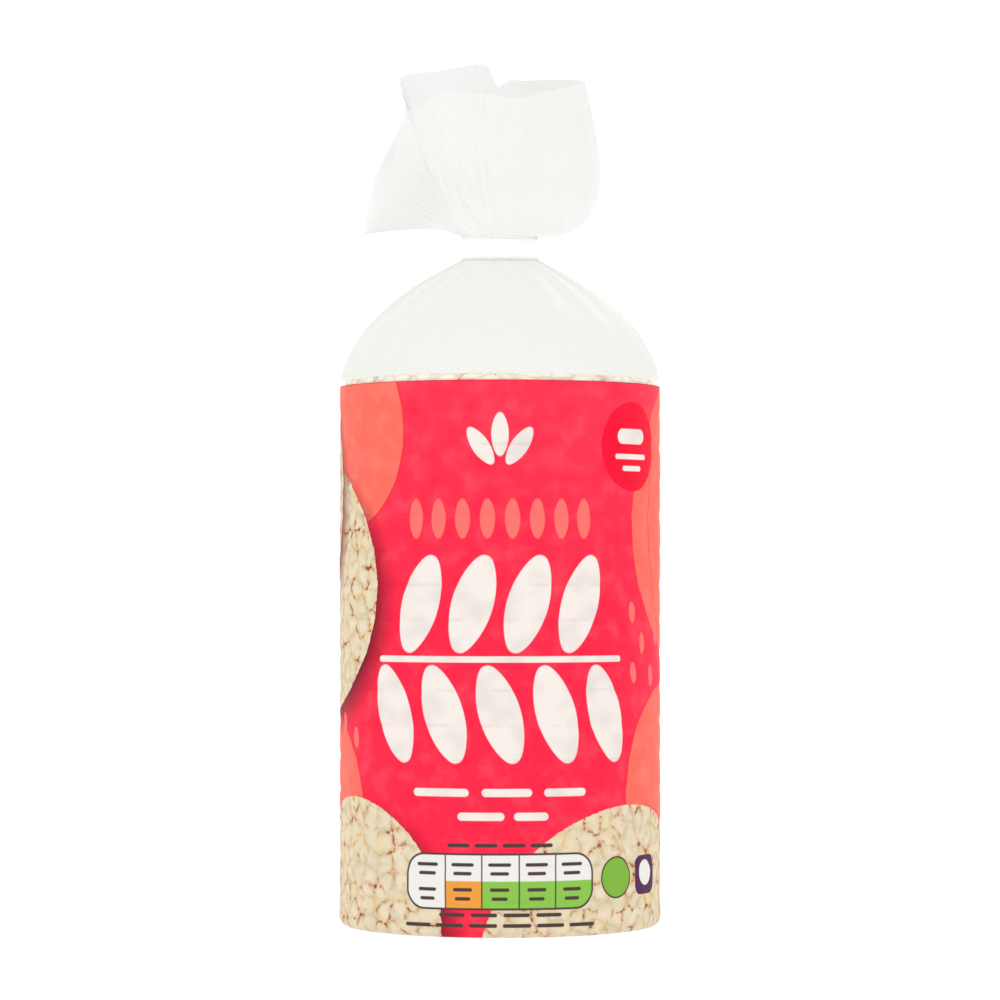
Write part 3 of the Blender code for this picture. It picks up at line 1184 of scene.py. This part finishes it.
# The swirl of the grains reads seeded noise. Without a seed it would differ in every run.
SWIRL_SEED = 7
noise.seed_set(SWIRL_SEED)


def cake_profile(face_steps, rim_steps):
    """The radius and height of each row of a cake, from its under face to its upper."""
    flat = CAKE_RADIUS - CAKE_CORNER
    quarter = [math.pi / 2 * step / rim_steps for step in range(rim_steps + 1)]
    lower = [
        (flat + CAKE_CORNER * math.sin(q), CAKE_CORNER * (1 - math.cos(q))) for q in quarter
    ]
    upper = [(radius, CAKE_THICKNESS - height) for radius, height in reversed(lower)]
    middle = [
        (CAKE_RADIUS, CAKE_CORNER + (CAKE_THICKNESS - 2 * CAKE_CORNER) * step / (2 * rim_steps))
        for step in range(1, 2 * rim_steps)
    ]
    under = [(flat * step / face_steps, 0) for step in range(face_steps)]
    over = [(radius, CAKE_THICKNESS) for radius, _ in reversed(under)]
    return under + lower + middle + upper + over


def grain_field(point):
    """How deep in its seam, and how tall in its grain, a point of a cake is."""
    swirl = noise.noise_vector(point / GRAIN_SWIRL) * GRAIN_PUSH
    distances, _ = noise.voronoi((point + swirl) / GRAIN_SIZE)
    seam = math.exp(-(distances[1] - distances[0]) / SEAM_WIDTH)
    return seam, max(1 - (distances[0] / GRAIN_REACH) ** 2, 0)


def cake_relief(point):
    """How far a point of a cake stands out of its smooth form."""
    seam, bulge = grain_field(point)
    return GRAIN_BULGE * bulge - SEAM_DEPTH * seam


def make_cakes(name, first, count, material, strips, face_steps, rim_steps):
    """One piece of stacked cakes, each a closed body."""
    stack = bpy.data.meshes.new(name)
    joined = bmesh.new()
    for level in range(first, first + count):
        lift = max(level * CAKE_PITCH + CAKE_MARGIN / 2, FOOT_CLEARANCE)
        profile = cake_profile(face_steps, rim_steps)
        rows = [partial(round_the_tube, radius=r, height=h + lift) for r, h in profile]
        cake = wrapped_sheet(rows, strips, cake_relief)
        cake.to_mesh(stack)
        cake.free()
        joined.from_mesh(stack)
    bpy.data.meshes.remove(stack)
    seams = joined.verts.layers.float.new("seam")
    for vertex in joined.verts:
        vertex[seams] = grain_field(vertex.co / MM)[0]
    make_piece(name, joined, material, "puffed_rice", "bag")


print("a cake:", 2 * CAKE_RADIUS, "mm wide and", CAKE_THICKNESS, "mm thick")

# %% [markdown]
# ## Puffed rice close up
#
# The grains are cream and matt, and light sinks a little way into them. The seams are
# toasted orange where the mould was hottest, and brown where bran has gathered, and a
# painted shade darkens each seam by its depth. The depth of each seam comes from the mesh,
# so the colours follow the shape.

# %% Finish of the cakes and make them
CAKE_CREAM = ink("#FAF0DE")
CAKE_PALE = ink("#FFFAF0")
CRUMB_BUMP = 0.5
CRUMB_DEPTH = 0.4 * MM

# Puffed brown rice: soaked grains, burst and fused by heat in a ring mould. It is matt,
# crumbly and pale, with flecks of bran.
cake_finish = {"Roughness": 0.85, "Subsurface Weight": 0.1, "Subsurface Scale": 0.002}
puffed_rice, cake_tree, cake_shader = new_material("puffed_brown_rice", cake_finish)
cake_place = object_place(cake_tree)
seam_depth = add(cake_tree, "ShaderNodeAttribute", attribute_name="seam").outputs["Fac"]
bran_patches = patches(cake_tree, cake_place, 8 * MM)
crumbs = patches(cake_tree, cake_place, 0.7 * MM, 4.0)
pale = paint(cake_tree, CAKE_CREAM, crumbs, CAKE_PALE)
# Painted shade: the seams of the cakes are darker the deeper they are.
shaded = paint(cake_tree, pale, ramp(cake_tree, seam_depth, 0.2, 1.0, 0.3), PUFFED_SHADE)
toasted = both(cake_tree, seam_depth, ramp(cake_tree, bran_patches, 0.45, 0.6, 0.7))
cracked = both(
    cake_tree,
    ramp(cake_tree, seam_depth, 0.6, 0.95),
    ramp(cake_tree, bran_patches, 0.52, 0.62, 0.6),
)
cake_colour = paint(cake_tree, paint(cake_tree, shaded, toasted, BRAN_ORANGE), cracked, BRAN_BROWN)
cake_colour = paint(cake_tree, cake_colour, specks(cake_tree, cake_place, 2.8 * MM), BRAN_ORANGE)
cake_tree.links.new(cake_colour, cake_shader.inputs["Base Color"])
roughen(cake_tree, cake_shader, crumbs, CRUMB_BUMP, CRUMB_DEPTH)

make_cakes("top_cake", CAKE_COUNT - 1, 1, puffed_rice, strips=336, face_steps=70, rim_steps=8)
make_cakes("lower_cakes", 0, CAKE_COUNT - 1, puffed_rice, strips=90, face_steps=9, rim_steps=3)

# %% [markdown]
# ## The neck tape
#
# The tape is a narrow band of white polypropylene with a weak glue. It is wound once
# round the gathered neck and lapped over its own end. It is smooth and slightly glossy,
# and it takes a trace of the gathers under it. It is wrapped like the rest, from a small
# closed section.

# %% Make the tape
TAPE_STRIPS = 240
TAPE_ROWS = 6
TAPE_GAP = -0.3
TAPE_THICKNESS = 1.25
TAPE_EDGE = 0.12
TAPE_BEVEL = 0.5
TAPE_TUCK = 0.35
LAP_STEP = 0.3
LAP_START = 0.08
LAP_END = 0.24
LAP_SLOPE = 0.006
TAPE_WAVE = 0.1
FIBRE_SIZE = 0.8 * MM


def lapped(turn):
    """1 where the tape's free end lies over its start, 0 elsewhere, with short slopes."""
    climb = min(max((turn % 1 - LAP_START) / LAP_SLOPE, 0), 1)
    fall = min(max((LAP_END - turn % 1) / LAP_SLOPE, 0), 1)
    return climb * fall


def tape_point(turn, out, height):
    """A point on the tape, a distance out from the neck's smooth oval."""
    wide, deep = math.cos(math.tau * turn), math.sin(math.tau * turn)
    neck = Vector((NECK_HALF_WIDTH * wide, NECK_HALF_DEPTH * deep, height))
    side = Vector((wide / NECK_HALF_WIDTH, deep / NECK_HALF_DEPTH, 0))
    if out > TAPE_GAP + TAPE_THICKNESS / 2:
        wave = (1 - tucks(turn, GATHER_COUNT, NECK_VARIETY)) / 2
        out += LAP_STEP * lapped(turn) - TAPE_WAVE * wave
    return neck + side.normalized() * out


inner, outer = TAPE_GAP, TAPE_GAP + TAPE_THICKNESS
tape_foot = tape_low.z - TAPE_TUCK
tape_width = tape_high.z - tape_low.z
face = [tape_low.z + tape_width * step / TAPE_ROWS for step in range(1, TAPE_ROWS)]
face = [tape_low.z + TAPE_EDGE, *face, tape_high.z - TAPE_EDGE]
section = [(inner, tape_foot), (outer - TAPE_BEVEL, tape_foot)]
section += [(outer, height) for height in face]
section += [(outer - TAPE_EDGE, tape_high.z), (inner, tape_high.z), (inner, tape_foot)]
tape_rows = [partial(tape_point, out=out, height=height) for out, height in section]

# Bag-neck tape: white-filled polypropylene film with glue on one side. It is bright white
# with a soft gloss.
tape_finish = {"Base Color": ink("#FBFCFD"), "Roughness": 0.38, "IOR": 1.49}
white_tape, tape_tree, tape_shader = new_material("white_polypropylene_tape", tape_finish)
fibres = patches(tape_tree, object_place(tape_tree), FIBRE_SIZE, 2)
roughen(tape_tree, tape_shader, fibres, FILM_BUMP, FILM_BUMP_DEPTH)

tape_band = wrapped_sheet(tape_rows, TAPE_STRIPS)
make_piece("tape_band", tape_band, white_tape, "white_tape", "neck_tape")
